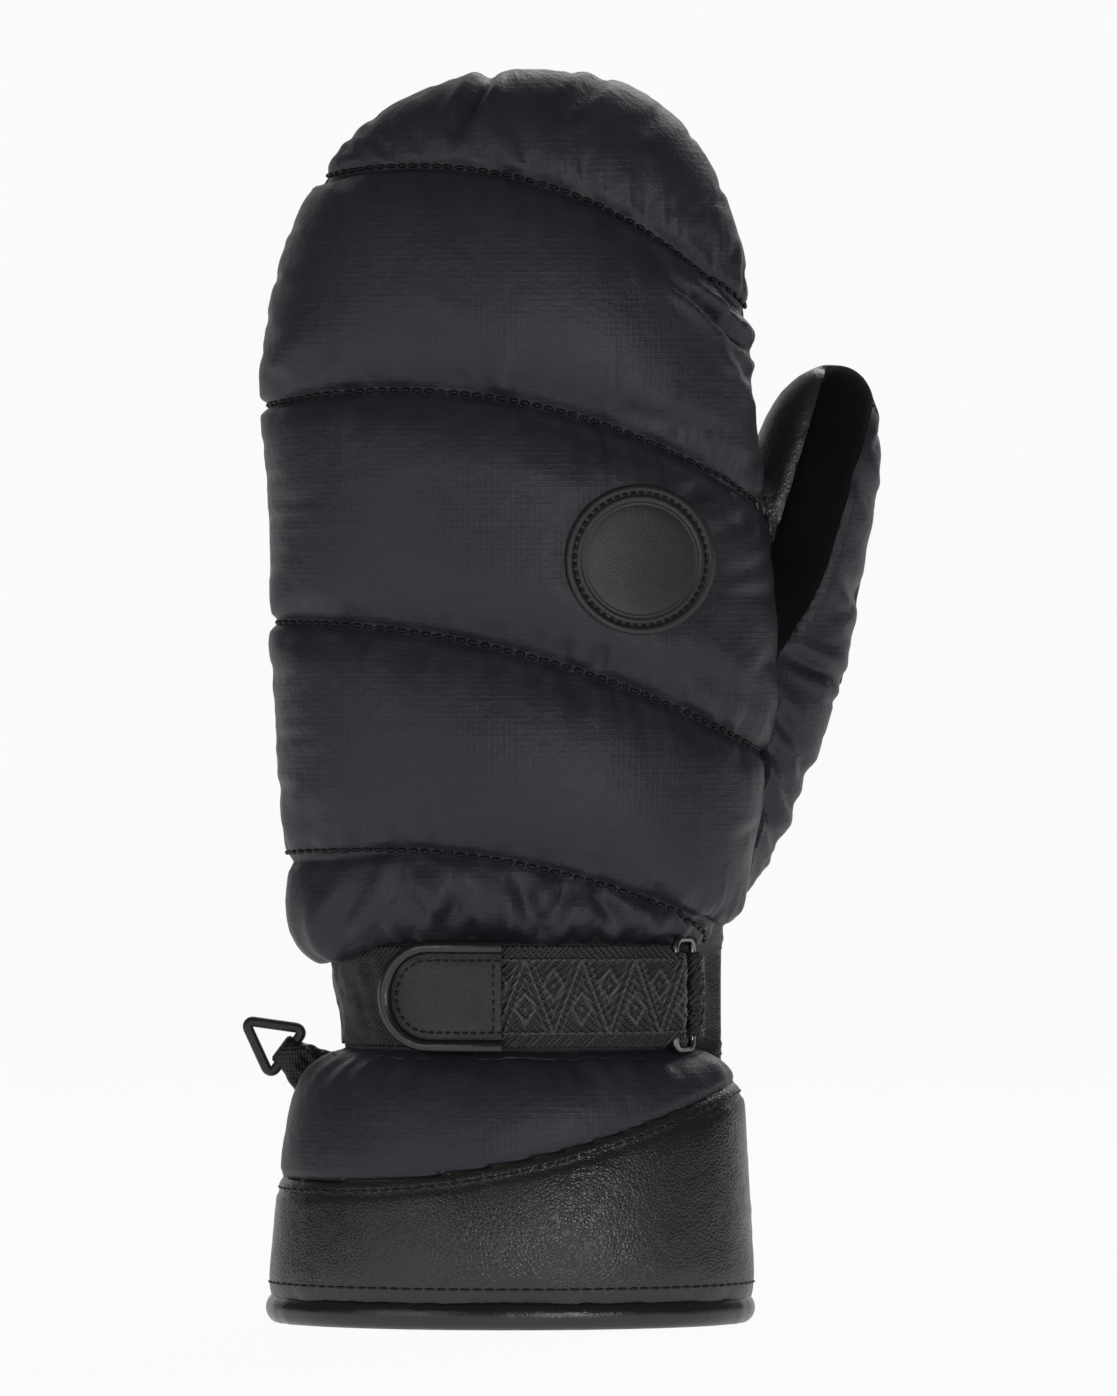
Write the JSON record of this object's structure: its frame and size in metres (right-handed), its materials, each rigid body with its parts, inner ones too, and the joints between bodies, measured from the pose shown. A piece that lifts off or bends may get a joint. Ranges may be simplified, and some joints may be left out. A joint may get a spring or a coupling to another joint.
{
  "type": "ski mitten",
  "caption": "Padded ski mitten for the left hand with quilted back, leather palm and gauntlet, suede thumb, wrist strap with ring and hook-and-loop tab, round badge and clip.",
  "frame": {"origin": "middle of the cuff's opening, on the plane that the hem rests on", "axes": "+Z towards the finger tips, +X towards the thumb, -Y out of the back of the hand, +Y out of the palm"},
  "size_m": [0.1547, 0.082, 0.3013],
  "materials": {
    "nylon": "woven nylon ripstop, faint sheen",
    "palm_leather": "smooth polyurethane leather, satin",
    "cuff_leather": "pebbled polyurethane leather, satin",
    "suede": "brushed, matte",
    "padding": "polyester wadding",
    "membrane": "thin waterproof film",
    "lining": "short fleece pile",
    "cord": "round elastic cord",
    "thread": "bonded polyester thread",
    "badge": "moulded, satin",
    "elastic": "ribbed woven elastic",
    "elastic_webbing": "crinkled woven webbing",
    "jacquard_webbing": "patterned woven webbing with a slight gleam",
    "loop_pile": "brushed loops",
    "hook_pile": "moulded hooks",
    "trim_leather": "glossy polyurethane leather",
    "ring_steel": "dull nickel",
    "clip_plastic": "matte",
    "clip_webbing": "folded woven webbing"
  },
  "bodies": {
    "mitten": {"back_insulation": "padding", "back_lining": "lining", "back_shell": "nylon", "badge_patch": "badge", "badge_thread": "thread", "clip_loop": "clip_webbing", "gauntlet_fabric": "nylon", "gauntlet_insulation": "padding", "gauntlet_leather": "cuff_leather", "gauntlet_lining": "lining", "gauntlet_palm": "cuff_leather", "gauntlet_thread": "thread", "hem_binding": "cuff_leather", "hem_cord": "cord", "hem_thread": "thread", "loop_patch": "loop_pile", "membrane": "membrane", "palm_insulation": "padding", "palm_leather": "palm_leather", "palm_lining": "lining", "quilt_thread_finger": "thread", "quilt_thread_knuckle": "thread", "quilt_thread_tip": "thread", "quilt_thread_wrist": "thread", "ring_keeper": "trim_leather", "strap_base": "elastic_webbing", "thumb_insulation": "padding", "thumb_leather": "palm_leather", "thumb_lining": "lining", "thumb_shell": "nylon", "thumb_suede": "suede", "wrist_elastic": "elastic"},
    "ring": {"strap_ring": "ring_steel"},
    "flap": {"strap_flap": "jacquard_webbing", "strap_tab": "trim_leather", "tab_piping": "trim_leather", "tab_thread": "thread", "hook_patch": "hook_pile"},
    "clip": {"clip_ring": "clip_plastic"}
  },
  "joints": [
    {"name": "ring_swing", "type": "hinge", "parent": "mitten", "child": "ring", "pos_m": [0.04364, -0.00889, 0.079], "axis": [0, 0, 1], "range_deg": [0, 25]},
    {"name": "strap_open", "type": "hinge", "parent": "ring", "child": "flap", "pos_m": [0.0395, -0.01766, 0.079], "axis": [0, 0, 1], "range_deg": [0, 110]},
    {"name": "clip_swing", "type": "hinge", "parent": "mitten", "child": "clip", "pos_m": [-0.0539, 0.01, 0.0644], "axis": [0.5976, 0, 0.8018], "range_deg": [-80, 80]}
  ]
}
